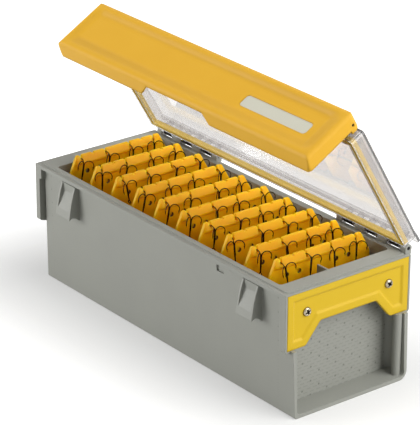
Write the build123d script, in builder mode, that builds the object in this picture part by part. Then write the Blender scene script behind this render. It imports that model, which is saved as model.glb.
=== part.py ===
"""Lure box: a gray tub with a clear hinged lid, a yellow latch cover and ten slotted racks.

Millimetres, Z up, the box stands on Z = 0. X runs along the box with the handle plate at +X,
and the front wall with its catches is at -Y. X = 0, Y = 0 is the middle of the rim.
The lid is shown open. Its pieces are drawn in the lid's own plane, whose local Y runs
from the hinge pins (0) to the front (negative) and whose local Z is the lid's thickness.
"""
from math import cos, radians, sin
import os

from build123d import *

os.makedirs("parts", exist_ok=True)

# Rim and tub
rim_length = 330
rim_width = 125
rim_top = 104
lip_step = 1
flange_thick = 3
wall = 3
floor_thick = 3
foot_half = 56.9
tub_top_half = 58.5
opening_width = 109
opening_far_x = -145
opening_near_x = 148.6
panel_x = 151
far_wall_end_x = -158
near_wall_end_x = 171
plate_bottom = 56
plate_seat_x = 161.7
frame_bottom = 52.4
pocket_width = 108.6

# Racks
rack_count = 10
rack_pitch = 29.1
first_rack_x = -136.4
rack_top = 114
slit_spacing = 25
slit_floor = 108.9

# Lid, hinge and latch cover
open_angle = 60
hinge_y = 62.5
hinge_z = 107
hinge_pin_r = 1.5
lid_half_length = 164.5
lid_front = -122.3
lid_top = 11
lid_bottom = -2.7
window_groups = (-116, 121)
window_pitch = 27
latch_pivot = (-129.3, 7.0)
latch_half_length = 160
latch_pin_r = 1.2

tilt = radians(open_angle)
lid_plane = Plane(origin=(0, hinge_y, hinge_z), x_dir=(1, 0, 0), z_dir=(0, sin(tilt), cos(tilt)))
lid_up = Axis((0, 0, 0), (0, sin(tilt), cos(tilt)))


def lid_section(x):
    """Plane across the lid at this X: local x is the lid's Y, local y is the lid's Z."""
    return Plane(origin=(x, hinge_y, hinge_z), x_dir=(0, cos(tilt), -sin(tilt)), z_dir=(1, 0, 0))


# Tub from the foot to the underside of the rim: both sides lean out upwards, both ends lean in
with BuildPart() as box_body:
    with BuildSketch(Plane.YZ.offset(far_wall_end_x)) as tub_section:
        with BuildLine():
            Polyline(
                (-foot_half, 0),
                (foot_half, 0),
                (tub_top_half, 100),
                (-tub_top_half, 100),
                close=True,
            )
        make_face()
        fillet(tub_section.vertices().group_by(Axis.Y)[0].sort_by(Axis.X)[-1], 8)
        fillet(tub_section.vertices().group_by(Axis.Y)[0].sort_by(Axis.X)[0], 2)
    extrude(amount=near_wall_end_x - far_wall_end_x)
    with BuildSketch(Plane.XZ.offset(-rim_width)):
        with BuildLine():
            Polyline(
                (far_wall_end_x, 0),
                (near_wall_end_x, 0),
                (near_wall_end_x - 2, plate_bottom),
                (plate_seat_x, plate_bottom),
                (plate_seat_x, 100),
                (far_wall_end_x + 1, 100),
                close=True,
            )
        make_face()
    extrude(amount=2 * rim_width, mode=Mode.INTERSECT)

    # End frames: the rim turns down past both ends, proud of the walls
    for side in (-1, 1):
        with BuildSketch(Plane.YZ.offset(158)):
            with BuildLine():
                Polyline(
                    (side * 56, 100),
                    (side * 62.5, 100),
                    (side * 62.5, plate_bottom + 0.5),
                    (side * 61, plate_bottom - 1.5),
                    (side * 56, plate_bottom - 2.5),
                    close=True,
                )
            make_face()
        extrude(amount=7)
    with BuildSketch(Plane.YZ.offset(-165)):
        with BuildLine():
            Polyline(
                (-62.5, 101),
                (62.5, 101),
                (62.5, frame_bottom + 1),
                (61.3, frame_bottom),
                (54, frame_bottom - 2),
                (42.5, frame_bottom - 2),
                (28, 73.5),
                (-28, 73.5),
                (-42.5, frame_bottom - 2),
                (-54, frame_bottom - 2),
                (-61.3, frame_bottom),
                (-62.5, frame_bottom + 1),
                close=True,
            )
        make_face()
    extrude(amount=5.3)

    # Short blocks and inner links that tie the far frame to the side walls
    with BuildSketch(Plane.YZ.offset(-165)):
        for side in (-1, 1):
            with Locations((side * 59.5, 95.5)):
                Rectangle(6, 9)
    extrude(amount=8)
    with BuildSketch(Plane.YZ.offset(-159.8)):
        for side in (-1, 1):
            with Locations((side * 55.2, (frame_bottom + 101) / 2)):
                Rectangle(2, 101 - frame_bottom)
    extrude(amount=3)

    # Rim flange and its raised lip
    with BuildSketch(Plane.XY.offset(rim_top - lip_step - flange_thick)):
        Rectangle(rim_length, rim_width)
    extrude(amount=flange_thick)
    with BuildSketch(Plane.XY.offset(rim_top - lip_step)):
        RectangleRounded(rim_length - 7, rim_width - 7, 1.5)
    extrude(amount=lip_step)

    # Cavity, drawn from the rim down with its draft
    with BuildSketch(Plane.XY.offset(rim_top)):
        with Locations(((opening_far_x + opening_near_x) / 2, 0)):
            opening = Rectangle(opening_near_x - opening_far_x, opening_width)
        chamfer(opening.vertices(), 2)
    extrude(amount=-(rim_top - floor_thick), taper=0.5, mode=Mode.SUBTRACT)

    # Pockets at both ends, open outwards
    with BuildSketch(Plane.YZ.offset(panel_x)):
        with Locations((0, (floor_thick + 100) / 2)):
            RectangleRounded(pocket_width, 100 - floor_thick, 3)
    extrude(amount=30, mode=Mode.SUBTRACT)
    with BuildSketch(Plane.YZ.offset(opening_far_x - wall)):
        with Locations((0, (floor_thick + 100) / 2)):
            RectangleRounded(pocket_width, 100 - floor_thick, 3)
    extrude(amount=-11.7, mode=Mode.SUBTRACT)

    # Cove between the near panel and the rear wall, and the half-round column beside it
    with BuildSketch(Plane.XY.offset(floor_thick - 1)):
        with BuildLine():
            Polyline(
                (panel_x + 6, pocket_width / 2),
                (panel_x + 6, pocket_width / 2 + 1),
                (panel_x - 1, pocket_width / 2 + 1),
                (panel_x - 1, pocket_width / 2 - 6),
                (panel_x, pocket_width / 2 - 6),
            )
            RadiusArc((panel_x, pocket_width / 2 - 6), (panel_x + 6, pocket_width / 2), 6)
        make_face()
    extrude(amount=100 - floor_thick + 1)
    with BuildSketch(Plane.XY.offset(floor_thick - 1)):
        with Locations((164.2, 51.4)):
            Circle(3.6)
    extrude(amount=plate_bottom - floor_thick + 1)

    # Bosses behind the plate, the plate's seat and the screws' bores
    with BuildSketch(Plane.YZ.offset(panel_x - 1)):
        with Locations((-41, 84), (41, 84)):
            Circle(4.5)
    extrude(amount=plate_seat_x - panel_x + 1)
    with BuildSketch(Plane.YZ.offset(plate_seat_x)):
        with Locations((0, (plate_bottom + 102) / 2)):
            Rectangle(121.6, 102 - plate_bottom)
    extrude(amount=12, mode=Mode.SUBTRACT)
    with BuildSketch(Plane.YZ.offset(plate_seat_x)):
        with Locations((-41, 84), (41, 84)):
            Circle(1.66)
    extrude(amount=panel_x - plate_seat_x + 0.6, mode=Mode.SUBTRACT)

    # Catches on the front wall: a web between two curved ribs, hooked below
    for catch_x in (-128, 112):
        with BuildSketch(Plane.YZ.offset(catch_x)):
            with BuildLine():
                Polyline(
                    (-57, 98.7),
                    (-61.8, 98.7),
                    (-64, 92.5),
                    (-65.8, 85.5),
                    (-67.2, 77.5),
                    (-68.4, 71),
                    (-64.6, 72.6),
                    (-61.5, 71.6),
                    (-57, 68),
                    close=True,
                )
            make_face()
        extrude(amount=19.4)
        with BuildSketch(Plane.YZ.offset(catch_x + 1.9)):
            with BuildLine():
                Polyline(
                    (-61.5, 99.5),
                    (-70, 99.5),
                    (-70, 77.8),
                    (-67.1, 77.8),
                    (-64.2, 84),
                    (-61.2, 92),
                    close=True,
                )
            make_face()
        extrude(amount=19.4 - 2 * 1.9, mode=Mode.SUBTRACT)

    # Small sockets in the front wall under the rim
    with BuildSketch(Plane.XZ.offset(57)):
        with Locations((80.5, 93.5)):
            Rectangle(9, 5)
        with Locations((93, 97.5)):
            Rectangle(1.6, 1.6)
    extrude(amount=4, mode=Mode.SUBTRACT)

    # Guide ribs that hold the racks' ends
    with BuildSketch(Plane.XY.offset(floor_thick - 0.5)):
        for k in range(rack_count):
            rack_x = first_rack_x + k * rack_pitch
            for rib_x in (rack_x - 1.0, rack_x + 3.4):
                for side in (-1, 1):
                    with Locations((rib_x, side * 52.7)):
                        Rectangle(1.4, 4.6)
    extrude(amount=78)

    # Upright rib on the near end wall, beside the last rack
    with BuildSketch(Plane.XZ.offset(6.6)):
        with BuildLine():
            Polyline(
                (opening_near_x + 1, rim_top - 0.3),
                (136.4, rim_top - 0.3),
                (134, floor_thick - 0.5),
                (opening_near_x + 1, floor_thick - 0.5),
                close=True,
            )
        make_face()
    extrude(amount=1.6)

    # Hinge knuckles on the rear edge of the rim
    for group_x in window_groups:
        for low_x, high_x in ((-41.1, -35.1), (-18.9, -8.1), (8.1, 18.9), (35.1, 41.1)):
            with BuildSketch(Plane.YZ.offset(group_x + low_x)):
                with Locations((hinge_y, hinge_z)):
                    RegularPolygon(3.3, 12)
                with Locations((hinge_y - 0.3, hinge_z - 3)):
                    Rectangle(6, 4)
            extrude(amount=high_x - low_x)
        with BuildSketch(Plane.YZ.offset(group_x - 45)):
            with Locations((hinge_y, hinge_z)):
                RegularPolygon(hinge_pin_r + 0.03, 10, major_radius=False)
        extrude(amount=90, mode=Mode.SUBTRACT)

box_body.part.label = "box_body"
export_step(box_body.part, "parts/box_body.step")


# Handle plate: flat border, dished middle, hand cut-out below
with BuildPart() as handle_plate:
    with BuildSketch(Plane.YZ.offset(plate_seat_x + 0.1)) as plate_outline:
        with BuildLine():
            Polyline(
                (-60.5, plate_bottom + 0.2),
                (-60.5, 101.8),
                (60.5, 101.8),
                (60.5, plate_bottom + 0.2),
                (42.5, plate_bottom + 0.2),
                (28, 73.5),
                (-28, 73.5),
                (-42.5, plate_bottom + 0.2),
                close=True,
            )
        make_face()
        fillet(plate_outline.vertices().filter_by_position(Axis.X, -50, 50), 4)
    extrude(amount=3.2)
    with BuildSketch(Plane.YZ.offset(165)):
        with BuildLine():
            Polyline(
                (-55, 62),
                (-55, 96.5),
                (55, 96.5),
                (55, 62),
                (45.5, 62),
                (31, 79.3),
                (-31, 79.3),
                (-45.5, 62),
                close=True,
            )
        make_face()
    extrude(amount=-1.2, taper=55, mode=Mode.SUBTRACT)
    with BuildSketch(Plane.YZ.offset(161)):
        with Locations((-41, 84), (41, 84)):
            Circle(1.75)
    extrude(amount=6, mode=Mode.SUBTRACT)

handle_plate.part.label = "handle_plate"
export_step(handle_plate.part, "parts/handle_plate.step")


# Two pan-head screws with a cross recess
with BuildPart() as handle_screws:
    for screw_y in (-41, 41):
        with BuildSketch(Plane.YZ.offset(163.82)):
            with Locations((screw_y, 84)):
                RegularPolygon(4.1, 16)
        extrude(amount=2.2)
    chamfer(handle_screws.faces().sort_by(Axis.X)[-2:].edges(), 1.1)
    with BuildSketch(Plane.YZ.offset(166.1)):
        for screw_y in (-41, 41):
            with Locations((screw_y, 84)):
                Rectangle(4.6, 1.1)
                Rectangle(1.1, 4.6)
    extrude(amount=-1.3, mode=Mode.SUBTRACT)
    with BuildSketch(Plane.YZ.offset(163.9)):
        with Locations((-41, 84), (41, 84)):
            RegularPolygon(1.6, 10)
    extrude(amount=-11.9)

handle_screws.part.label = "handle_screws"
export_step(handle_screws.part, "parts/handle_screws.step")


# Clear lid: a shallow tray with an inner wall beside the seal
with BuildPart() as lid:
    with BuildSketch(lid_plane.offset(lid_bottom)):
        with Locations((0, (lid_front - 3.7) / 2)):
            RectangleRounded(2 * lid_half_length, -lid_front - 3.7, 4)
    extrude(amount=lid_top - lid_bottom)
    chamfer(lid.faces().sort_by(lid_up)[-1].edges(), 1.2)

    # Rear edge of the top, over the hinge
    with BuildSketch(lid_plane.offset(8.7)):
        with Locations((0, -3.4)):
            RectangleRounded(2 * lid_half_length, 10.4, 2)
    extrude(amount=lid_top - 8.7)

    # Hollow inside the outer wall
    with BuildSketch(lid_plane.offset(lid_bottom - 1)):
        with Locations((0, (-120.3 - 5.1) / 2)):
            RectangleRounded(2 * 162.5, 120.3 - 5.1, 2.5)
    extrude(amount=8.7 - lid_bottom + 1, mode=Mode.SUBTRACT)

    # Inner wall
    with BuildSketch(lid_plane.offset(-2.6)):
        with Locations((0, (-116.7 - 8.3) / 2)):
            Rectangle(2 * 158.2, 116.7 - 8.3)
            Rectangle(2 * 157.0, 116.7 - 8.3 - 2.4, mode=Mode.SUBTRACT)
    extrude(amount=11.6)

    # Ears round the hinge pins, either side of each window
    for group_x in window_groups:
        for step in (-1, 0, 1):
            for ear_x in (-7.7, 5.7):
                with BuildSketch(lid_section(group_x + step * window_pitch + ear_x)):
                    RegularPolygon(3.3, 12)
                    with Locations((-0.9, 5)):
                        Rectangle(5.4, 10)
                extrude(amount=2)
        with BuildSketch(lid_section(group_x - 45)):
            RegularPolygon(hinge_pin_r + 0.07, 10, major_radius=False)
        extrude(amount=90, mode=Mode.SUBTRACT)

    # Lugs that carry the latch cover
    for lug_x in (-156.5, 152.5):
        with BuildSketch(lid_section(lug_x)):
            with Locations(latch_pivot):
                RegularPolygon(2.5, 12)
            with BuildLine():
                Polyline((-129.3, 4.5), (-121.5, 0.5), (-121.5, 9.5), (-129.3, 9.5), close=True)
            make_face()
        extrude(amount=4)
        with BuildSketch(lid_section(lug_x - 1)):
            with Locations(latch_pivot):
                Circle(latch_pin_r + 0.06)
        extrude(amount=6, mode=Mode.SUBTRACT)

lid.part.label = "lid"
export_step(lid.part, "parts/lid.step")


# Seal strip, a closed ring between the lid's two walls
with BuildPart() as lid_seal:
    with BuildSketch(lid_plane.offset(-2.8)):
        with Locations((0, (-120.2 - 5.2) / 2)):
            RectangleRounded(2 * 162.4, 120.2 - 5.2, 2.4)
        with Locations((0, (-116.8 - 8.2) / 2)):
            Rectangle(2 * 158.3, 116.8 - 8.2, mode=Mode.SUBTRACT)
    extrude(amount=4.5)

lid_seal.part.label = "lid_seal"
export_step(lid_seal.part, "parts/lid_seal.step")


# Two steel hinge pins
with BuildPart() as hinge_pins:
    for group_x in window_groups:
        with BuildSketch(Plane.YZ.offset(group_x - 41)):
            with Locations((hinge_y, hinge_z)):
                Circle(hinge_pin_r)
        extrude(amount=82)

hinge_pins.part.label = "hinge_pins"
export_step(hinge_pins.part, "parts/hinge_pins.step")


# Latch cover: a thin channel with end caps, whose lower lip hooks under the catches.
# Its rear top edge is rounded within 7 mm of the pivot, so that it turns clear of the lid.
with BuildPart() as latch_cover:
    with BuildSketch(lid_section(-latch_half_length)) as cover_section:
        with BuildLine():
            Polyline(
                (-123.2, 12.6),
                (-139, 12.6),
                (-139, -39),
                (-125.8, -42.8),
                (-125.8, 3.4),
                (-123.2, 3.4),
                close=True,
            )
        make_face()
        fillet(cover_section.vertices().sort_by(Axis.Y)[-2:].sort_by(Axis.X)[-1], 5)
        fillet(cover_section.vertices().sort_by(Axis.X)[:2], 4)
    extrude(amount=2 * latch_half_length)
    with BuildSketch(lid_plane.offset(-50)):
        with Locations((0, -139 + 20)):
            RectangleRounded(2 * latch_half_length, 40, 3.5)
    extrude(amount=70, mode=Mode.INTERSECT)
    with BuildSketch(lid_section(-157.8)):
        with BuildLine():
            Polyline(
                (-110, 10.6),
                (-134.6, 10.6),
                (-136.8, 8.4),
                (-136.8, -35),
                (-135.4, -37.9),
                (-125.7, -40.7),
                (-110, -40.7),
                close=True,
            )
        make_face()
    extrude(amount=2 * 157.8, mode=Mode.SUBTRACT)

    # Slots over the lid's lugs
    with BuildSketch(lid_plane.offset(5)):
        with Locations((-154.5, -127), (154.5, -127)):
            Rectangle(5.2, 10)
    extrude(amount=8, mode=Mode.SUBTRACT)

    # Finger notch in the lower lip
    with BuildSketch(lid_plane.offset(-50)):
        with BuildLine():
            Polyline((-54, -120), (-39, -134.5), (32, -134.5), (44, -120), close=True)
        make_face()
    extrude(amount=30, mode=Mode.SUBTRACT)

    # Dished front and the label seat
    face_plane = Plane(
        origin=lid_section(0).from_local_coords((-139, 0, 0)),
        x_dir=(1, 0, 0),
        z_dir=(0, -cos(tilt), sin(tilt)),
    )
    with BuildSketch(face_plane):
        with Locations((0, -12.5)):
            RectangleRounded(2 * 152, 41, 5)
    with BuildSketch(face_plane.offset(-0.8)):
        with Locations((0, -12.5)):
            RectangleRounded(2 * 145, 29, 4)
    loft(ruled=True, mode=Mode.SUBTRACT)
    with BuildSketch(face_plane):
        with Locations((99.5, -16.3)):
            RectangleRounded(78.4, 11.6, 3.2)
    extrude(amount=-1.6, mode=Mode.SUBTRACT)

    # Bores for the latch pins
    with BuildSketch(lid_section(-165)):
        with Locations(latch_pivot):
            Circle(latch_pin_r + 0.02)
    extrude(amount=330, mode=Mode.SUBTRACT)

latch_cover.part.label = "latch_cover"
export_step(latch_cover.part, "parts/latch_cover.step")


# Latch pins, one at each end, set a little inside the end caps
with BuildPart() as latch_pins:
    for pin_x in (-159.2, 151.6):
        with BuildSketch(lid_section(pin_x)):
            with Locations(latch_pivot):
                Circle(latch_pin_r)
        extrude(amount=7.6)

latch_pins.part.label = "latch_pins"
export_step(latch_pins.part, "parts/latch_pins.step")


# Label insert in the latch cover's window
with BuildPart() as label_insert:
    with BuildSketch(face_plane.offset(-1.58)):
        with Locations((99.5, -16.3)):
            RectangleRounded(78.2, 11.4, 3.1)
    extrude(amount=0.5)

label_insert.part.label = "label_insert"
export_step(label_insert.part, "parts/label_insert.step")


# One rack, drawn with its rear top edge at X = 0
with BuildPart() as rack_pattern:
    with BuildSketch(Plane.YZ):
        with BuildLine():
            Polyline(
                (-45, rack_top),
                (45, rack_top),
                (52.6, 102),
                (52.6, 6),
                (-52.6, 6),
                (-52.6, 102),
                close=True,
            )
        make_face()
    extrude(amount=5)
    with BuildSketch(Plane.XZ.offset(-60)):
        with BuildLine():
            Polyline(
                (0, rack_top),
                (1.8, rack_top),
                (4.8, 108),
                (4.8, 106.4),
                (2.4, 104.8),
                (2.4, 5),
                (0, 5),
                close=True,
            )
        make_face()
    extrude(amount=120, mode=Mode.INTERSECT)
    with BuildSketch(Plane.YZ.offset(-1)):
        for slit in range(4):
            with Locations(((slit - 1.5) * slit_spacing, (slit_floor + rack_top + 1) / 2)):
                Rectangle(1.8, rack_top + 1 - slit_floor)
        with Locations((-25, rack_top), (25, rack_top)):
            Rectangle(2.2, 3)
    extrude(amount=8, mode=Mode.SUBTRACT)
    with BuildSketch(Plane.YZ.offset(-1)):
        with Locations((-31, 98.5), (-18.6, 98.5), (18.6, 98.5), (31, 98.5)):
            RegularPolygon(2.0, 6)
    extrude(amount=8, mode=Mode.SUBTRACT)


# One treble hook, drawn with the root of its bends at the origin and its shank hanging down
with BuildPart() as treble_pattern:
    with BuildSketch(Plane.XY.offset(0.3)):
        Rectangle(1, 1)
    extrude(amount=-16)
    for turn in (radians(180), radians(60), radians(-60)):
        bend_plane = Plane(origin=(0, 0, 0), x_dir=(cos(turn), sin(turn), 0), z_dir=(sin(turn), -cos(turn), 0))
        with BuildLine(bend_plane):
            Polyline((0, 0), (2.2, 4.3), (7.8, 4.3), (9, -3.4))
        with BuildSketch(Plane.XY):
            Rectangle(0.95, 0.95)
        sweep(transition=Transition.RIGHT)

for k in range(rack_count):
    rack_x = first_rack_x + k * rack_pitch
    with BuildPart() as rack:
        with Locations((rack_x, 0, 0)):
            add(rack_pattern.part)
    rack.part.label = f"rack_{k + 1:02d}"
    export_step(rack.part, f"parts/rack_{k + 1:02d}.step")

    with BuildPart() as treble_hooks:
        for slit in range(4):
            with Locations((rack_x + 7.5, (slit - 1.5) * slit_spacing, 107)):
                add(treble_pattern.part)
    treble_hooks.part.label = f"treble_hooks_{k + 1:02d}"
    export_step(treble_hooks.part, f"parts/treble_hooks_{k + 1:02d}.step")
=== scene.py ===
import math
import random

import bmesh
import bpy
from mathutils import Matrix, Quaternion, Vector


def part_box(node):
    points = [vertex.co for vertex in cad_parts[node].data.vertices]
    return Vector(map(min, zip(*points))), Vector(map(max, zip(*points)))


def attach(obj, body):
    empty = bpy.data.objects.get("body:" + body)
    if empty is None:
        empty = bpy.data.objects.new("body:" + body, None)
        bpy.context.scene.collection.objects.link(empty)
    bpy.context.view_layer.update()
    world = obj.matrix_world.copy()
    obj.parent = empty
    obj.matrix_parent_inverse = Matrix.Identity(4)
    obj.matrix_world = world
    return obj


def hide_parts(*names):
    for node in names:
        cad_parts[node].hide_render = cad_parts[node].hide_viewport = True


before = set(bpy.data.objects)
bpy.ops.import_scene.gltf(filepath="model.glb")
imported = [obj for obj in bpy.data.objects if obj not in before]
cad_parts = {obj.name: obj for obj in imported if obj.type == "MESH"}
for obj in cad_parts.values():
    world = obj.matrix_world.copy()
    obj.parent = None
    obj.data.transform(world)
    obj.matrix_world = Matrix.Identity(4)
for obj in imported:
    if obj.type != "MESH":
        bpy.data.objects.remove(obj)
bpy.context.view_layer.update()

# The box body: a one-piece injection moulding in gray polypropylene, with a drawn-down rim,
# two hooked catches on the front wall and a hand pocket at each end.
# Polypropylene from a fine spark-eroded mould: satin, with a grain too small to see as bumps.
MM = 0.001
BODY_GRAY, FLOW_GRAY = "#96978F", "#90918A"
# painted shade for the dimples and dashes of the pockets' end panels
PAINTED_SHADE_GRAY = "#6E6F68"  # the shade in the marks of the pockets' end panels
FLOW_MM = 35.71  # the melt's flow leaves bands a shade darker, a few centimetres across
GRAIN_MM = 0.7  # the real grain is about 0.1 mm; drawn coarser so that it shows at all
BROKEN_EDGE_MM = 0.45
PANELS_X_MM, PANEL_SKIN_MM = (151, -148), 0.3  # the pockets' end panels, and how thick a skin is marked
DIMPLE_COLUMN_MM, DIMPLE_STEP_MM, DIMPLE_ROW_MM = 8.35, 5.1, 12.0  # staggered dimples in both pockets
DIMPLE_FLOOR_R_MM, DIMPLE_R_MM = 0.5, 1.15
DASH_ROW_MM, DASH_MM = 2.9, 6.4  # tooling dashes between the dimples
DASH_HIGH, DASH_LONG, DASH_DEEP = 0.36, 0.62, 0.26  # as shares of a row, of a dash's step, of a dimple


def linear(hex_colour):
    """An sRGB hex colour as linear red, green, blue and alpha."""
    parts = [int(hex_colour[i:i + 2], 16) / 255 for i in (1, 3, 5)]
    return (*[c / 12.92 if c <= 0.04045 else ((c + 0.055) / 1.055) ** 2.4 for c in parts], 1.0)


def add_node(owner, kind, inputs=None, **options):
    """Adds one node: options are its attributes, and inputs take a value, a socket, or a node, whose
    first output in use is linked."""
    node = owner.node_tree.nodes.new(kind)
    for key, value in options.items():
        setattr(node, key, value)
    for key, value in (inputs or {}).items():
        if isinstance(value, bpy.types.Node):
            value = next(socket for socket in value.outputs if socket.enabled)
        if isinstance(value, bpy.types.NodeSocket):
            owner.node_tree.links.new(value, node.inputs[key])
        else:
            node.inputs[key].default_value = value
    return node


def blank(name):
    """A material with no nodes yet."""
    material = bpy.data.materials.new(name)
    material.use_nodes = True
    material.node_tree.nodes.clear()
    return material


def dress(node, material):
    """Gives a carried-over CAD node its finish."""
    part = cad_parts[node]
    part.data.materials.clear()
    part.data.materials.append(material)
    return part


gray_pp = blank("gray_polypropylene")
place = add_node(gray_pp, "ShaderNodeTexCoord").outputs["Object"]
flow = add_node(gray_pp, "ShaderNodeTexNoise",
                {"Vector": place, "Scale": 1 / (FLOW_MM * MM), "Detail": 3.0, "Roughness": 0.55})
tone = add_node(gray_pp, "ShaderNodeMix",
                {"Factor": flow, "A": linear(BODY_GRAY), "B": linear(FLOW_GRAY)}, data_type="RGBA")
axes = add_node(gray_pp, "ShaderNodeSeparateXYZ", {"Vector": place})
body_x, body_y, body_z = (axes.outputs[axis] for axis in "XYZ")

# Distance to the nearest dimple of the staggered rows, in millimetres
column = add_node(gray_pp, "ShaderNodeMath", {0: body_y, 1: DIMPLE_COLUMN_MM * MM}, operation="DIVIDE")
column_number = add_node(gray_pp, "ShaderNodeMath", {0: column}, operation="ROUND")
off_column = add_node(gray_pp, "ShaderNodeMath", {0: column, 1: column_number}, operation="SUBTRACT")
across = add_node(gray_pp, "ShaderNodeMath", {0: off_column, 1: DIMPLE_COLUMN_MM}, operation="MULTIPLY")
staggered = add_node(gray_pp, "ShaderNodeMath", {0: column_number, 1: DIMPLE_STEP_MM * MM, 2: body_z},
                     operation="MULTIPLY_ADD")
row = add_node(gray_pp, "ShaderNodeMath", {0: staggered, 1: DIMPLE_ROW_MM * MM}, operation="DIVIDE")
row_number = add_node(gray_pp, "ShaderNodeMath", {0: row}, operation="ROUND")
off_row = add_node(gray_pp, "ShaderNodeMath", {0: row, 1: row_number}, operation="SUBTRACT")
upward = add_node(gray_pp, "ShaderNodeMath", {0: off_row, 1: DIMPLE_ROW_MM}, operation="MULTIPLY")
upward_squared = add_node(gray_pp, "ShaderNodeMath", {0: upward, 1: upward}, operation="MULTIPLY")
reach_squared = add_node(gray_pp, "ShaderNodeMath", {0: across, 1: across, 2: upward_squared},
                         operation="MULTIPLY_ADD")
reach = add_node(gray_pp, "ShaderNodeMath", {0: reach_squared}, operation="SQRT")
dimple = add_node(gray_pp, "ShaderNodeMapRange",
                  {"Value": reach, "From Min": DIMPLE_FLOOR_R_MM, "From Max": DIMPLE_R_MM,
                   "To Min": 1.0, "To Max": 0.0})

# Short dashes in rows, every other row set half a dash along
dash_row = add_node(gray_pp, "ShaderNodeMath", {0: body_z, 1: DASH_ROW_MM * MM}, operation="DIVIDE")
up_row = add_node(gray_pp, "ShaderNodeMath", {0: dash_row}, operation="FRACT")
in_row = add_node(gray_pp, "ShaderNodeMath", {0: up_row, 1: DASH_HIGH}, operation="LESS_THAN")
dash_row_number = add_node(gray_pp, "ShaderNodeMath", {0: dash_row}, operation="FLOOR")
along_row = add_node(gray_pp, "ShaderNodeMath", {0: body_y, 1: DASH_MM * MM}, operation="DIVIDE")
along = add_node(gray_pp, "ShaderNodeMath", {0: dash_row_number, 1: 0.5, 2: along_row},
                 operation="MULTIPLY_ADD")
along_dash = add_node(gray_pp, "ShaderNodeMath", {0: along}, operation="FRACT")
in_dash = add_node(gray_pp, "ShaderNodeMath", {0: along_dash, 1: DASH_LONG}, operation="LESS_THAN")
dashed = add_node(gray_pp, "ShaderNodeMath", {0: in_row, 1: in_dash}, operation="MULTIPLY")
dash = add_node(gray_pp, "ShaderNodeMath", {0: dashed, 1: DASH_DEEP}, operation="MULTIPLY")

# Both only on the end panels, where they sink as bumps and are darkened with painted shade
marks = add_node(gray_pp, "ShaderNodeMath", {0: dimple, 1: dash}, operation="MAXIMUM")
near_panel, far_panel = (
    add_node(gray_pp, "ShaderNodeMath", {0: body_x, 1: x * MM, 2: PANEL_SKIN_MM * MM}, operation="COMPARE")
    for x in PANELS_X_MM)
on_panels = add_node(gray_pp, "ShaderNodeMath", {0: near_panel, 1: far_panel}, operation="MAXIMUM")
marked = add_node(gray_pp, "ShaderNodeMath", {0: marks, 1: on_panels}, operation="MULTIPLY")
# the marks are mixed towards a darker gray: painted shade, as if shade lay in the dimples and dashes
painted_shade = add_node(gray_pp, "ShaderNodeMath", {0: marked, 1: 0.85}, operation="MULTIPLY")
lowered = add_node(gray_pp, "ShaderNodeMath", {0: marked, 1: -1.0}, operation="MULTIPLY")
marks_in_painted_shade = add_node(gray_pp, "ShaderNodeMix", {"Factor": painted_shade, "A": tone, "B": linear(PAINTED_SHADE_GRAY)},
                  data_type="RGBA")
grain = add_node(gray_pp, "ShaderNodeTexNoise",
                 {"Vector": place, "Scale": 1 / (GRAIN_MM * MM), "Detail": 1.0})
broken_edge = add_node(gray_pp, "ShaderNodeBevel", {"Radius": BROKEN_EDGE_MM * MM}, samples=4)
satin = add_node(gray_pp, "ShaderNodeBump",
                 {"Height": grain, "Normal": broken_edge, "Strength": 0.12, "Distance": 0.05 * MM})
sunk = add_node(gray_pp, "ShaderNodeBump",
                {"Height": lowered, "Normal": satin, "Strength": 0.5, "Distance": 0.3 * MM})
body_skin = add_node(gray_pp, "ShaderNodeBsdfPrincipled",
                     {"Base Color": marks_in_painted_shade, "Normal": sunk, "Roughness": 0.48, "IOR": 1.49,
                      "Specular IOR Level": 0.35})
add_node(gray_pp, "ShaderNodeOutputMaterial", {"Surface": body_skin})
dress("box_body", gray_pp)


# The handle plate: a yellow ABS plate with a dished front, let into the near end's frame and
# held by two screws.
# ABS from a polished mould: cleaner colour and a little more gloss than the body.
def moulded_plastic(name, colour, shade, roughness, gloss, edge_mm, grain_mm=0.6, bump=0.06,
                    shaped=None, inside=None):
    """Moulded plastic: even colour with a faint flow mottle, satin grain and softly broken edges.
    The grain is coarser than the real 0.1 mm or so, because it wouldn't show."""
    material = blank(name)
    place = add_node(material, "ShaderNodeTexCoord").outputs["Object"]
    mottle = add_node(material, "ShaderNodeTexNoise",
                      {"Vector": place, "Scale": 1 / (FLOW_MM * MM), "Detail": 3.0, "Roughness": 0.55})
    tone = add_node(material, "ShaderNodeMix", {"Factor": mottle, "A": linear(colour), "B": linear(shade)},
                    data_type="RGBA")
    grain = add_node(material, "ShaderNodeTexNoise",
                     {"Vector": place, "Scale": 1 / (grain_mm * MM), "Detail": 1.0})
    edge = add_node(material, "ShaderNodeBevel", {"Radius": edge_mm * MM}, samples=4)
    relief = add_node(material, "ShaderNodeBump",
                      {"Height": grain, "Normal": edge, "Strength": bump, "Distance": 0.05 * MM})
    if shaped:
        relief = shaped(material, place, relief)
    skin = add_node(material, "ShaderNodeBsdfPrincipled",
                    {"Base Color": tone, "Normal": relief, "Roughness": roughness, "IOR": 1.53,
                     "Specular IOR Level": gloss, **(inside or {})})
    add_node(material, "ShaderNodeOutputMaterial", {"Surface": skin})
    return material


yellow_abs = moulded_plastic("yellow_abs", "#D2B022", "#CDAA1D", roughness=0.40, gloss=0.2, edge_mm=2.0)
dress("handle_plate", yellow_abs)
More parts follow.
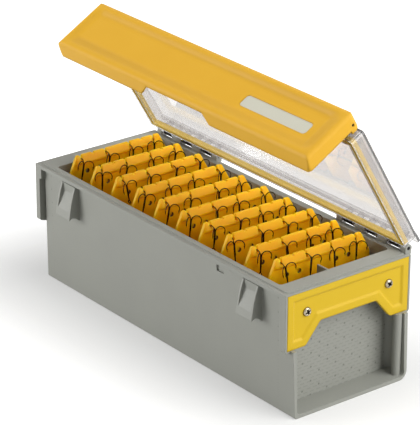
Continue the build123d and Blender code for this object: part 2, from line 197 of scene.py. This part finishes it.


# The plate's two pan-head screws: steel, nickel plated, each with a driven cross in its head
# and a thread that bites into the boss behind the plate.
# Bright nickel: mirror-like with a faint drag from plating, and painted shade, near black, in the deeper part
# of each recess.
SCREW_X, SCREW_Y, SCREW_Z = 163.82, 41, 84
HEAD_R, HEAD_RISE, HEAD_RINGS, SPOKES = 3.8, 2.2, 26, 72
SHANK_R, SHANK_LENGTH, SHANK_TIP_R = 1.6, 11.8, 0.2
THREAD_STEP, THREAD_DEPTH = 0.55, 0.3  # from crest to root along the shank, and across it
CROSS_HALF, CROSS_REACH, CROSS_DEPTH = 0.75, 2.6, 1.5
CROSS_WALL, CROSS_RAMP = 0.12, 0.7  # how softly the recess's sides and the ends of its arms run out
PAINTED_SHADE_FROM = 0.35  # the share of the recess's depth from which it is dark
DRAG_GLOSSY, DRAG_DULL = 0.8, 1.3  # what the drag makes of a metal's roughness


def plated_metal(name, colour, roughness, brush_mm):
    """Plated or drawn metal: mirror-like with a faint drag, ten times as long along X as it is wide.
    The real marks are a few hundredths of a millimetre wide; drawn coarser so that they show."""
    material = blank(name)
    place = add_node(material, "ShaderNodeTexCoord").outputs["Object"]
    stretch = add_node(material, "ShaderNodeMapping", {"Vector": place, "Scale": (0.1, 1.0, 1.0)})
    drag = add_node(material, "ShaderNodeTexNoise",
                    {"Vector": stretch, "Scale": 1 / (brush_mm * MM), "Detail": 2.0})
    gloss = add_node(material, "ShaderNodeMapRange",
                     {"Value": drag, "To Min": roughness * DRAG_GLOSSY, "To Max": roughness * DRAG_DULL})
    skin = add_node(material, "ShaderNodeBsdfPrincipled",
                    {"Base Color": linear(colour), "Roughness": gloss, "Metallic": 1.0})
    add_node(material, "ShaderNodeOutputMaterial", {"Surface": skin})
    return material


def ease(value, low, high):
    """0 at low, 1 at high, with soft ends."""
    t = min(max((value - low) / (high - low), 0.0), 1.0)
    return t * t * (3 - 2 * t)


def cross_depth(u, v):
    """How deep the driver recess is at a point of the head, in millimetres."""
    arms = [(abs(u), abs(v)), (abs(v), abs(u))]
    cut = max((1 - ease(side, CROSS_HALF - CROSS_WALL, CROSS_HALF + CROSS_WALL)) *
              (1 - ease(reach, CROSS_REACH - CROSS_RAMP, CROSS_REACH)) for side, reach in arms)
    return CROSS_DEPTH * cut


def pan_head_screw(mesh, middle, turn):
    """A domed head with its recess, and a threaded shank behind it."""
    crown = mesh.verts.new(middle + Vector(((HEAD_RISE - CROSS_DEPTH) * MM, 0, 0)))
    last = [crown] * SPOKES
    for i in range(1, HEAD_RINGS + 1):
        r = HEAD_R * i / HEAD_RINGS
        ring = []
        for s in range(SPOKES):
            a = 2 * math.pi * s / SPOKES
            u, v = r * math.cos(a - turn), r * math.sin(a - turn)
            rise = HEAD_RISE * math.sqrt(max(1 - (r / HEAD_R) ** 4, 0)) - cross_depth(u, v)
            point = Vector((max(rise, 0), r * math.cos(a), r * math.sin(a)))
            ring.append(mesh.verts.new(middle + point * MM))
        for s in range(SPOKES):
            n = (s + 1) % SPOKES
            corners = (crown, ring[s], ring[n]) if i == 1 else (last[s], ring[s], ring[n], last[n])
            face = mesh.faces.new(corners)
            spot = face.calc_center_median() - middle
            spot_u = spot.y * math.cos(turn) + spot.z * math.sin(turn)
            spot_v = spot.z * math.cos(turn) - spot.y * math.sin(turn)
            # faces deep in the cross recess take the near-black painted shade
            dark = cross_depth(spot_u / MM, spot_v / MM) > PAINTED_SHADE_FROM * CROSS_DEPTH
            face.material_index = 1 if dark else 0
        last = ring
    profile = [(0.0, SHANK_R)]
    for i in range(1, int(SHANK_LENGTH / THREAD_STEP)):
        profile.append((-THREAD_STEP * i, SHANK_R if i % 2 else SHANK_R - THREAD_DEPTH))
    profile.append((-SHANK_LENGTH, SHANK_TIP_R))
    for depth, r in profile:
        ring = [mesh.verts.new(middle + Vector((depth, r * math.cos(2 * math.pi * s / SPOKES),
                                                r * math.sin(2 * math.pi * s / SPOKES))) * MM)
                for s in range(SPOKES)]
        for s in range(SPOKES):
            n = (s + 1) % SPOKES
            mesh.faces.new((last[s], ring[s], ring[n], last[n]))
        last = ring
    mesh.faces.new(list(reversed(last)))


def place_mesh(mesh, name, materials, body, nodes):
    """Makes an object of a finished mesh, parents it to the body it rides on and hides the CAD parts it
    stands for.
    """
    bmesh.ops.recalc_face_normals(mesh, faces=mesh.faces[:])
    data = bpy.data.meshes.new(name)
    mesh.to_mesh(data)
    mesh.free()
    for material in materials:
        data.materials.append(material)
    data.shade_smooth()
    piece = bpy.data.objects.new(name, data)
    bpy.context.scene.collection.objects.link(piece)
    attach(piece, body)
    if nodes:
        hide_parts(*nodes)
    return piece


bright_nickel = plated_metal("bright_nickel", "#A39A86", 0.2, 0.4)
# near black: painted shade for the deep part of each screw's cross recess
recess_painted_shade = plated_metal("recess_painted_shade", "#1C1A18", 0.5, 0.3)
screws = bmesh.new()
for side, turn in ((-1, 0.35), (1, 0.95)):
    pan_head_screw(screws, Vector((SCREW_X, side * SCREW_Y, SCREW_Z)) * MM, turn)
place_mesh(screws, "plate_screws", [bright_nickel, recess_painted_shade], "box", ["handle_screws"])


# The lid: a shallow tray injection moulded in clear styrene-acrylonitrile, polished both sides,
# with the faint ripple of its flow.
# Clear styrene: sharp reflections and full refraction, with the gray haze of a used box lid.
LID_TINT = "#D8D6D5"
RIPPLE_MM = 71.43  # from one long swell of the sheet to the next

clear_styrene = blank("clear_styrene")
place = add_node(clear_styrene, "ShaderNodeTexCoord").outputs["Object"]
flow = add_node(clear_styrene, "ShaderNodeTexNoise",
                {"Vector": place, "Scale": 1 / (RIPPLE_MM * MM), "Detail": 2.0})
ripple = add_node(clear_styrene, "ShaderNodeBump", {"Height": flow, "Strength": 0.04, "Distance": 0.4 * MM})
lid_skin = add_node(clear_styrene, "ShaderNodeBsdfPrincipled",
                    {"Base Color": linear(LID_TINT), "Normal": ripple, "Roughness": 0.03, "IOR": 1.50,
                     "Transmission Weight": 0.94})
add_node(clear_styrene, "ShaderNodeOutputMaterial", {"Surface": lid_skin})
lid = dress("lid", clear_styrene)
lid.visible_shadow = False  # clear plastic hardly shades what it covers


# The seal: a soft yellow strip pressed between the lid's two walls, with a groove between two lips.
# Thermoplastic elastomer: matt, with a soft bloom at glancing angles and a fine dust on it.
SEAL_YELLOW, DUSTY_YELLOW = "#BD9E12", "#B49510"
DUST_MM = 3.846  # the real dust is far finer; drawn coarser so that it shows at all
SEAL_HALF, SEAL_REAR, SEAL_FRONT, SEAL_CORNER = 162.4, -5.2, -120.2, 2.4
SEAL_SECTION = ((0.0, 1.7), (0.0, -2.2), (0.3, -2.7), (1.0, -2.8), (1.35, -2.4), (1.5, -1.3),
                (2.0, -1.3), (2.15, -2.4), (2.5, -2.8), (2.9, -2.75), (3.2, -2.3), (3.3, 1.7))
HINGE_Y, HINGE_Z, OPEN = 62.5, 107, math.radians(60)


def on_lid(x, y, z):
    """A point of the open lid: y runs from the hinge to the front (negative), z is its height."""
    return Vector((x, HINGE_Y + y * math.cos(OPEN) + z * math.sin(OPEN),
                   HINGE_Z - y * math.sin(OPEN) + z * math.cos(OPEN))) * MM


def seal_path(inset):
    """The closed line at this inset from the seal's outer edge, with rounded corners."""
    points = []
    half, rear, front = SEAL_HALF - inset, SEAL_REAR - inset, SEAL_FRONT + inset
    r = max(SEAL_CORNER - inset, 0.4)
    for x, y, start in ((half - r, rear - r, 0), (-half + r, rear - r, 90),
                        (-half + r, front + r, 180), (half - r, front + r, 270)):
        for s in range(7):
            a = math.radians(start + 15 * s)
            points.append((x + r * math.cos(a), y + r * math.sin(a)))
    return points


yellow_elastomer = blank("yellow_elastomer")
place = add_node(yellow_elastomer, "ShaderNodeTexCoord").outputs["Object"]
dust = add_node(yellow_elastomer, "ShaderNodeTexNoise",
                {"Vector": place, "Scale": 1 / (DUST_MM * MM), "Detail": 3.0})
dusty = add_node(yellow_elastomer, "ShaderNodeMix",
                 {"Factor": dust, "A": linear(SEAL_YELLOW), "B": linear(DUSTY_YELLOW)}, data_type="RGBA")
bloom = add_node(yellow_elastomer, "ShaderNodeBump", {"Height": dust, "Strength": 0.1, "Distance": 0.1 * MM})
seal_skin = add_node(yellow_elastomer, "ShaderNodeBsdfPrincipled",
                     {"Base Color": dusty, "Normal": bloom, "Roughness": 0.62, "IOR": 1.5,
                      "Sheen Weight": 0.15, "Sheen Roughness": 0.5})
add_node(yellow_elastomer, "ShaderNodeOutputMaterial", {"Surface": seal_skin})

seal = bmesh.new()
seal_rings = [[seal.verts.new(on_lid(x, y, height)) for x, y in seal_path(inset)]
              for inset, height in SEAL_SECTION]
for ring, following in zip(seal_rings, seal_rings[1:] + seal_rings[:1]):
    for s in range(len(ring)):
        n = (s + 1) % len(ring)
        seal.faces.new((ring[s], ring[n], following[n], following[s]))
place_mesh(seal, "seal_strip", [yellow_elastomer], "lid", ["lid_seal"])


# The hinge pins and the latch pins: plain drawn steel rods, coloured nearly black, with a short
# near-black tube round the hinge's rod in each window between two knuckles. In each window the
# near-black rod and tube are painted shade, for the shade deep in the window. Dark steel: nearly black with
# one soft line of light along the rod.
SHADE_TUBE_R, SHADE_TUBE_HALF = 2.85, 5.3
SHADE_TUBE_PLACES = (-143, -116, -89, 94, 121, 148)


def tube(mesh, path, radii, sides=8):
    """Skins a round tube over the points of path and closes both ends."""
    rings = []
    across = None
    for i, point in enumerate(path):
        ahead = (path[min(i + 1, len(path) - 1)] - path[max(i - 1, 0)]).normalized()
        if across is None:
            across = ahead.orthogonal().normalized()
        across = (across - ahead * across.dot(ahead)).normalized()
        side = ahead.cross(across)
        rings.append([
            mesh.verts.new(point + (across * math.cos(a) + side * math.sin(a)) * radii[i])
            for a in [2 * math.pi * s / sides for s in range(sides)]
        ])
    for low, high in zip(rings, rings[1:]):
        for s in range(sides):
            mesh.faces.new((low[s], low[(s + 1) % sides], high[(s + 1) % sides], high[s]))
    mesh.faces.new(list(reversed(rings[0])))
    mesh.faces.new(rings[-1])


steel_and_painted_shade = plated_metal("steel_and_painted_shade", "#24211F", 0.45, 0.3)
dress("hinge_pins", steel_and_painted_shade)
dress("latch_pins", steel_and_painted_shade)
# near-black tubes in the hinge's windows: painted shade for the shade deep in each window
shade_tubes = bmesh.new()
for x in SHADE_TUBE_PLACES:
    tube(shade_tubes, [Vector((x + end, HINGE_Y, HINGE_Z)) * MM for end in (-SHADE_TUBE_HALF, 0, SHADE_TUBE_HALF)],
         [SHADE_TUBE_R * MM] * 3, 24)
place_mesh(shade_tubes, "painted_shade_tubes", [steel_and_painted_shade], "box", [])


# The latch cover: a long amber-yellow channel that swings on two pins over the catches. Its mesh
# is the solid's, trimmed to the rounder corners that the real moulding has.
# ABS in a warmer batch than the plate, satin outside, with soft edges round a shallow dish.
DISH_DEEPER_MM = 3.5  # the moulded dish fades out over a wide border, more softly than its solid
DISH_LOW_EDGE, DISH_TOP_EDGE, DISH_END = (-36, -24), (-2, 8), (145, 157)  # where the border fades
COVER_HALF, COVER_TOP, COVER_BOTTOM = 160.01, 12.61, -42.81
TOP_CORNER_R, LOW_CORNER_R = 6.0, 3.5  # the channel's four corners, seen from its front
TRIMMER_ENDS = (-150, -105)  # past the channel's front and its open back
WELD_MM = 0.001  # the solid's faces come apart at their edges, and are joined first


def dished(material, place, normal):
    """The normal of the cover's front where it sinks softly into its dish."""
    axes = add_node(material, "ShaderNodeSeparateXYZ", {"Vector": place})
    # how far a point lies up the open cover's front, measured from the hinge's own level
    hinge_level = (HINGE_Y * math.sin(OPEN) + HINGE_Z * math.cos(OPEN)) * MM
    rise = add_node(material, "ShaderNodeMath", {0: axes.outputs["Z"], 1: math.cos(OPEN), 2: -hinge_level},
                    operation="MULTIPLY_ADD")
    up_front = add_node(material, "ShaderNodeMath", {0: axes.outputs["Y"], 1: math.sin(OPEN), 2: rise},
                        operation="MULTIPLY_ADD")
    from_middle = add_node(material, "ShaderNodeMath", {0: axes.outputs["X"]}, operation="ABSOLUTE")
    fades = []
    for value, (start, end), before in ((up_front, DISH_LOW_EDGE, 0.0), (up_front, DISH_TOP_EDGE, 1.0),
                                        (from_middle, DISH_END, 1.0)):
        fades.append(add_node(material, "ShaderNodeMapRange",
                              {"Value": value, "From Min": start * MM, "From Max": end * MM,
                               "To Min": before, "To Max": 1 - before}, interpolation_type="SMOOTHSTEP"))
    band = add_node(material, "ShaderNodeMath", {0: fades[0], 1: fades[1]}, operation="MULTIPLY")
    dish = add_node(material, "ShaderNodeMath", {0: band, 1: fades[2]}, operation="MULTIPLY")
    sunk = add_node(material, "ShaderNodeMath", {0: dish, 1: -1.0}, operation="MULTIPLY")
    return add_node(material, "ShaderNodeBump",
                    {"Height": sunk, "Normal": normal, "Strength": 1.0, "Distance": DISH_DEEPER_MM * MM})


def solid_between(mesh, sections):
    """Skins a closed solid through a row of like outlines."""
    rings = [[mesh.verts.new(Vector(point) * MM) for point in outline] for outline in sections]
    for ring, following in zip(rings, rings[1:]):
        for s in range(len(ring)):
            n = (s + 1) % len(ring)
            mesh.faces.new((ring[s], ring[n], following[n], following[s]))
    mesh.faces.new(list(reversed(rings[0])))
    mesh.faces.new(rings[-1])


def cut_mesh(mesh, cutter, operation):
    """A new mesh: what is left of one closed mesh after it is cut by another."""
    pair = []
    for part, name in ((mesh, "blank"), (cutter, "cutter")):
        bmesh.ops.recalc_face_normals(part, faces=part.faces[:])
        data = bpy.data.meshes.new(name)
        part.to_mesh(data)
        part.free()
        pair.append(bpy.data.objects.new(name, data))
        bpy.context.scene.collection.objects.link(pair[-1])
    cut = pair[0].modifiers.new("cut", "BOOLEAN")
    cut.operation, cut.object = operation, pair[1]
    bpy.context.view_layer.update()
    left = bpy.data.meshes.new_from_object(pair[0].evaluated_get(bpy.context.evaluated_depsgraph_get()))
    for made in pair:
        bpy.data.objects.remove(made)
    return left


amber_abs = moulded_plastic("amber_abs", "#E0AD33", "#DAA62D", roughness=0.44, gloss=0.15, edge_mm=2.4,
                            shaped=dished)
cover_outline = []
for side, start, r, middle_z in ((1, 0, TOP_CORNER_R, COVER_TOP - TOP_CORNER_R),
                                 (-1, 90, TOP_CORNER_R, COVER_TOP - TOP_CORNER_R),
                                 (-1, 180, LOW_CORNER_R, COVER_BOTTOM + LOW_CORNER_R),
                                 (1, 270, LOW_CORNER_R, COVER_BOTTOM + LOW_CORNER_R)):
    for a in range(start, start + 91, 10):
        cover_outline.append((side * (COVER_HALF - r) + r * math.cos(math.radians(a)),
                              middle_z + r * math.sin(math.radians(a))))
trimmer = bmesh.new()
solid_between(trimmer, [[on_lid(x, y, z) / MM for x, z in cover_outline] for y in TRIMMER_ENDS])
square_cover = bmesh.new()
square_cover.from_mesh(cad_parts["latch_cover"].data)
bmesh.ops.remove_doubles(square_cover, verts=square_cover.verts[:], dist=WELD_MM * MM)
cover = bmesh.new()
cover.from_mesh(cut_mesh(square_cover, trimmer, "INTERSECT"))
piece = place_mesh(cover, "rounded_cover", [amber_abs], "cover", ["latch_cover"])
piece.data.shade_flat()


# The label insert: a plain pale card behind clear film, set flush in the cover's window.
# Card under film: even and pale, with the film's low gloss.
label_card = moulded_plastic("label_card", "#CBC9B8", "#C6C4B3", roughness=0.35, gloss=0.3, edge_mm=0.2,
                             grain_mm=1.2, bump=0.04)
dress("label_insert", label_card)


# The racks: ten yellow dividers whose slotted bars carry the hooks, moulded in polypropylene and
# slid down between the body's guide ribs.
# A deeper yellow than the plate that turns orange where light passes from face to face.
RACK_FOOT, RACK_NECK, BAR_LOW, BAR_NOSE, RACK_TOP = 6, 104.8, 106.5, 108, 114
RACK_HALF, RACK_SHEET, BAR_FRONT = 52.6, 2.4, 4.4
SLITS_Y, SLIT_HALF, SLIT_FLOOR, SLIT_LIP_R = (12.5, 37.5), 0.9, 108.9, 1.2
NOTCH_Y, NOTCH_HALF, NOTCH_FLOOR, NOTCH_LIP_R = 25, 1.1, 112.6, 0.7
NOTCH_SLOPE = 0.25  # the notch's floor rises this much from its middle to its sides
FRONT_THUMB, REAR_THUMB = (42.1, 2.25), (43.6, 1.75)  # where each thumb turns down, and how steeply
THUMB_ROUND, THUMB_R, THUMB_DROP = 1.6, 1.9, 0.9  # the length, radius and fall of that turn
BAR_FADE = (40.5, 46.0)  # where the bar thins out to the sheet
BAR_TOP_WIDTH = 2.3
HOLES_Y, HOLE_Z, HOLE_R = (-31, -18.6, 18.6, 31), 98.5, 2.0
DRILL_ENDS = (-1, 6)  # past both faces of the rack
RACKS = range(1, 11)


def rack_height(y):
    """The rack's top edge at this place across the box: slits, notches and sloping thumbs."""
    thumb_end, fall = FRONT_THUMB if y < 0 else REAR_THUMB
    y = abs(y)
    top = RACK_TOP
    for slit in SLITS_Y:
        off = abs(y - slit) - SLIT_HALF
        if off < 0:
            return SLIT_FLOOR
        if off < SLIT_LIP_R:
            top = min(top, RACK_TOP - SLIT_LIP_R + math.sqrt(SLIT_LIP_R ** 2 - (SLIT_LIP_R - off) ** 2))
    off = abs(y - NOTCH_Y) - NOTCH_HALF
    if off < 0:
        top = NOTCH_FLOOR + NOTCH_SLOPE * (1 + off / NOTCH_HALF)
    elif off < NOTCH_LIP_R:
        top = min(top, RACK_TOP - NOTCH_LIP_R + math.sqrt(NOTCH_LIP_R ** 2 - (NOTCH_LIP_R - off) ** 2))
    if y > thumb_end:
        top = min(top, RACK_TOP - THUMB_DROP - (y - thumb_end) * fall)
    elif y > thumb_end - THUMB_ROUND:
        turned = max(THUMB_R ** 2 - (y - thumb_end + THUMB_ROUND) ** 2, 0)
        top = min(top, RACK_TOP - THUMB_R + math.sqrt(turned))
    return top


def rack_stations():
    """Places across the box where the rack's section is drawn, close together at every rounding."""
    places = {0.0, 6.0, 18.5, 31.0, 44.0, 46.5, 49.0, RACK_HALF}
    for slit in SLITS_Y:
        places.update(slit + side * (SLIT_HALF + d)
                      for side in (-1, 1) for d in (-0.01, 0, 0.15, 0.4, 0.75, SLIT_LIP_R))
    places.update(NOTCH_Y + side * (NOTCH_HALF + d)
                  for side in (-1, 1) for d in (-NOTCH_HALF, -0.5, -0.01, 0, 0.15, 0.4, NOTCH_LIP_R))
    places.update((40.5, 41.0, 41.5, 41.9, 42.1, 42.5, 43.0, 43.4, 43.6, 45.0))
    return sorted({round(side * y, 3) for y in places for side in (-1, 1)})


def rack_section(y):
    """The rack's outline at this place: rear face, rolled top edge, sloped bar, neck and sheet."""
    top = rack_height(y)
    swell = 1 - ease(abs(y), *BAR_FADE)
    nose = RACK_SHEET + (BAR_FRONT - RACK_SHEET) * swell
    low = min(BAR_LOW, top - 1.6)
    front_top = min(BAR_TOP_WIDTH, nose - 0.1)
    mid = min(BAR_NOSE, top - 1.0)
    share = (RACK_TOP - top) / (RACK_TOP - BAR_NOSE)
    shoulder = front_top + (nose - front_top) * min(max(share, 0), 1)
    return ((0, RACK_FOOT), (0, top - 0.5), (0.15, top - 0.12), (0.5, top), (shoulder - 0.45, top),
            (shoulder - 0.1, top - 0.15), (shoulder + 0.08 * swell, top - 0.5),
            (nose - 0.25 * swell, mid + 0.5), (nose, mid), (nose, low), (nose - 0.3 * swell, low - 0.3),
            (RACK_SHEET, min(RACK_NECK, low - 0.5)), (RACK_SHEET, RACK_FOOT))


plain_rack = bmesh.new()
solid_between(plain_rack, [[(x, y, z) for x, z in rack_section(y)] for y in rack_stations()])
drills = bmesh.new()
for y in HOLES_Y:
    hole = [(y + HOLE_R * math.cos(math.radians(a)), HOLE_Z + HOLE_R * math.sin(math.radians(a)))
            for a in range(0, 360, 30)]
    solid_between(drills, [[(x, *point) for point in hole] for x in DRILL_ENDS])
drilled = cut_mesh(plain_rack, drills, "DIFFERENCE")

rack_yellow = moulded_plastic(
    "rack_polypropylene", "#DCA50B", "#D59C07", roughness=0.42, gloss=0.1, edge_mm=0.4, bump=0.05,
    inside={"Subsurface Weight": 0.85, "Subsurface Radius": (1.0, 0.6, 0.12), "Subsurface Scale": 12 * MM})
# the drilled holes' walls are painted dark brown: painted shade inside the holes
hole_wall_painted_shade = moulded_plastic("hole_wall_painted_shade", "#5A3206", "#4A2904", roughness=0.5, gloss=0.1, edge_mm=0.1,
                             bump=0.05)
for k in RACKS:
    low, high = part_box(f"rack_{k:02d}")
    rack = bmesh.new()
    rack.from_mesh(drilled)
    for face in rack.faces:
        middle = face.calc_center_median() / MM
        # the walls of the drilled holes take the dark brown painted shade
        off_hole = min(math.hypot(middle.y - y, middle.z - HOLE_Z) for y in HOLES_Y)
        face.material_index = 1 if off_hole < HOLE_R + 0.1 and abs(face.normal.x) < 0.5 else 0
    bmesh.ops.translate(rack, vec=(low.x, 0, 0), verts=rack.verts[:])
    piece = place_mesh(rack, f"slotted_rack_{k:02d}", [rack_yellow, hole_wall_painted_shade], "box",
                       [f"rack_{k:02d}"])
    piece.data.shade_flat()


# The treble hooks: three bends of tempered wire brazed to one shank with an eye, black plated.
# Each hangs in a slit by one bend, and leans as it happened to come to rest.
# Black nickel: dark, hard and glossy.
WIRE_R, BEND_R, ROOT_OUT = 0.40, 4.0, 0.45  # each wire, its bend, and how far it stands off the axis
LEG_HEIGHTS = (-9.0, -5.0, -2.0)  # along the shank, up to the root of the bend
POINT, POINT_CLOSES = ((1.2, 1.0), (2.4, 0.8), (3.6, 0.15)), 0.14  # length, share of the wire; closing in
BARB_IN, BARB_DOWN, BARB_LONG, BARB_HIGH, BARB_R = 0.4, 1.7, 0.75, 0.9, (0.32, 0.06)
BRAZED_SHANK = ((-0.5, 0.62), (-8, 0.7), (-14, 0.5))  # heights and radii
EYE_R, EYE_Z, EYE_WIRE_R, EYE_STEPS = 1.4, -15.2, 0.42, 14
SLIT_STEP, HANG_Z, HANG_OUT = 25, 107, 6.3
MOST_LEAN, MOST_SWING = 24, 13  # degrees


def treble(mesh, place):
    """One treble hook with the root of its bends at the origin of place, hanging by one bend."""
    start = len(mesh.verts)
    up = Vector((0, 0, 1))
    for turn in (180, 60, -60):
        a = math.radians(turn)
        out = Vector((math.cos(a), math.sin(a), 0))
        points = [(out * ROOT_OUT + up * height) * MM for height in LEG_HEIGHTS]
        for s in range(13):
            b = math.pi * s / 12
            points.append((out * (ROOT_OUT + BEND_R * (1 - math.cos(b))) + up * BEND_R * math.sin(b)) * MM)
        radii = [WIRE_R * MM] * len(points)
        tip = points[-1]
        for length, share in POINT:
            points.append(tip - (up + out * POINT_CLOSES) * length * MM)
            radii.append(WIRE_R * share * MM)
        tube(mesh, points, radii)
        barb = tip - (up * BARB_DOWN + out * BARB_IN) * MM
        tube(mesh, [barb, barb + (up * BARB_HIGH - out * BARB_LONG) * MM], [r * MM for r in BARB_R], 6)
    tube(mesh, [Vector((0, 0, height * MM)) for height, r in BRAZED_SHANK],
         [r * MM for height, r in BRAZED_SHANK])
    eye = []
    for s in range(EYE_STEPS + 1):
        a = 2 * math.pi * s / EYE_STEPS
        eye.append(Vector((EYE_R * math.sin(a), 0, EYE_Z - EYE_R * math.cos(a))) * MM)
    tube(mesh, eye, [EYE_WIRE_R * MM] * len(eye))
    mesh.verts.ensure_lookup_table()
    for v in mesh.verts[start:]:
        v.co = place @ v.co


black_nickel = plated_metal("black_nickel", "#251B17", 0.25, 0.5)
shake = random.Random(7)
for k in RACKS:
    low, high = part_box(f"rack_{k:02d}")
    trebles = bmesh.new()
    for slit in range(4):
        pivot = Vector((low.x + RACK_SHEET / 2 * MM, (slit - 1.5) * SLIT_STEP * MM, HANG_Z * MM))
        lean = Matrix.Rotation(math.radians(shake.uniform(-MOST_LEAN, MOST_LEAN)), 4, "Z")
        swing = Matrix.Rotation(math.radians(shake.uniform(-MOST_SWING, MOST_SWING)), 4, "X")
        hung = Matrix.Translation(pivot) @ lean @ swing @ Matrix.Translation(Vector((HANG_OUT * MM, 0, 0)))
        treble(trebles, hung)
    place_mesh(trebles, f"trebles_{k:02d}", [black_nickel], "box", [f"treble_hooks_{k:02d}"])


# The studio: a pale floor that reads white to the camera and keeps the box's soft shadow, with
# painted shade round the box where its glow is kept low, in a white room with three softboxes.
# Seamless paper: matt and white, brighter to the eye than the light that it sends back.
# the glow is kept lower under the box than beyond it, which lays painted shade round the box on top of its
# real shadow
FLOOR_LIFT, FAR_LIFT = 0.40, 1.0  # under the box, and beyond its soft shadow
SHADOW_REACH = 0.20
UNDER_BOX = (0.16, 0.06, 0)  # half of the box's own footprint
ROOM_LIGHT = 0.25  # what the white room adds to every side of the object
LAMPS_AIM = Vector((0, 0, 0.08))
FLOOR_HALF = 3
floor_mesh = bpy.data.meshes.new("floor")
floor_mesh.from_pydata([(x * FLOOR_HALF, y * FLOOR_HALF, 0) for x, y in ((-1, -1), (1, -1), (1, 1), (-1, 1))],
                       [], [(0, 1, 2, 3)])
floor = bpy.data.objects.new("floor", floor_mesh)
bpy.context.scene.collection.objects.link(floor)


def white_to_the_eye(owner):
    """1 for rays of the camera, and for those seen through the clear lid or mirrored in metal."""
    path = add_node(owner, "ShaderNodeLightPath")
    seen = add_node(owner, "ShaderNodeMath",
                    {0: path.outputs["Is Camera Ray"], 1: path.outputs["Is Transmission Ray"]},
                    operation="MAXIMUM")
    return add_node(owner, "ShaderNodeMath", {0: seen, 1: path.outputs["Is Glossy Ray"]},
                    operation="MAXIMUM")


white_paper = blank("white_paper")
place = add_node(white_paper, "ShaderNodeTexCoord").outputs["Object"]
folded = add_node(white_paper, "ShaderNodeVectorMath", {0: place}, operation="ABSOLUTE")
outside = add_node(white_paper, "ShaderNodeVectorMath", {0: folded, 1: UNDER_BOX}, operation="SUBTRACT")
apart = add_node(white_paper, "ShaderNodeVectorMath", {0: outside, 1: (0, 0, 0)}, operation="MAXIMUM")
from_box = add_node(white_paper, "ShaderNodeVectorMath", {0: apart}, operation="LENGTH")
# the glow is lower near the box and rises over SHADOW_REACH: painted shade round the box
glow_with_painted_shade = add_node(white_paper, "ShaderNodeMapRange",
                    {"Value": from_box, "From Min": 0.0, "From Max": SHADOW_REACH,
                     "To Min": FLOOR_LIFT, "To Max": FAR_LIFT}, interpolation_type="SMOOTHSTEP")
lift = add_node(white_paper, "ShaderNodeMath", {0: white_to_the_eye(white_paper), 1: glow_with_painted_shade},
                operation="MULTIPLY")
floor_skin = add_node(white_paper, "ShaderNodeBsdfPrincipled",
                      {"Base Color": linear("#B4B4B2"), "Roughness": 0.9,
                       "Emission Color": linear("#FFFFFF"), "Emission Strength": lift})
add_node(white_paper, "ShaderNodeOutputMaterial", {"Surface": floor_skin})
floor_mesh.materials.append(white_paper)

world = bpy.data.worlds.new("studio")
bpy.context.scene.world = world
world.use_nodes = True
world.node_tree.nodes.clear()
soft = add_node(world, "ShaderNodeMapRange",
                {"Value": white_to_the_eye(world), "To Min": ROOM_LIGHT, "To Max": 1.0})
sky = add_node(world, "ShaderNodeBackground", {"Color": linear("#FFFFFF"), "Strength": soft})
add_node(world, "ShaderNodeOutputWorld", {"Surface": sky})


def softbox(name, place, size, power):
    """A square area lamp at place that points at the box."""
    data = bpy.data.lights.new(name, "AREA")
    data.size = size
    data.energy = power
    lamp = bpy.data.objects.new(name, data)
    bpy.context.scene.collection.objects.link(lamp)
    lamp.location = place
    lamp.rotation_mode = "QUATERNION"
    lamp.rotation_quaternion = (LAMPS_AIM - Vector(place)).to_track_quat("-Z", "Y")


softbox("key_right", (1.46, 0.63, 0.88), size=1.5, power=31)
softbox("top_rear", (0.35, 0.20, 1.65), size=1.0, power=9.5)
softbox("fill_left_front", (-1.16, -1.60, 0.34), size=1.2, power=36)


# The camera: a long lens two metres off, placed from the photograph's perspective. It looks down
# on the near end and the front wall, and its lens is worked out for the photograph's frame, 420 by 425.
AZIMUTH, ELEVATION, ROLL = math.radians(51.997), math.radians(23.433), math.radians(0.175)
DISTANCE, SHIFT_RIGHT, SHIFT_UP = 2.0929, -0.00418, 0.08999
FOCAL_PIXELS, FRAME_HEIGHT, SENSOR_MM = 2549.0, 425, 36

back = Vector((math.sin(AZIMUTH) * math.cos(ELEVATION), -math.cos(AZIMUTH) * math.cos(ELEVATION),
               math.sin(ELEVATION)))
lens = bpy.data.cameras.new("camera")
lens.sensor_width = SENSOR_MM
lens.lens = FOCAL_PIXELS / FRAME_HEIGHT * SENSOR_MM
lens.clip_start, lens.clip_end = 0.1, 20
camera = bpy.data.objects.new("camera", lens)
bpy.context.scene.collection.objects.link(camera)
camera.rotation_mode = "QUATERNION"
camera.rotation_quaternion = back.to_track_quat("Z", "Y") @ Quaternion((0, 0, 1), ROLL)
right = camera.rotation_quaternion @ Vector((1, 0, 0))
above = camera.rotation_quaternion @ Vector((0, 1, 0))
camera.location = back * DISTANCE + right * SHIFT_RIGHT + above * SHIFT_UP
bpy.context.scene.camera = camera
bpy.context.scene.view_settings.view_transform = "Standard"
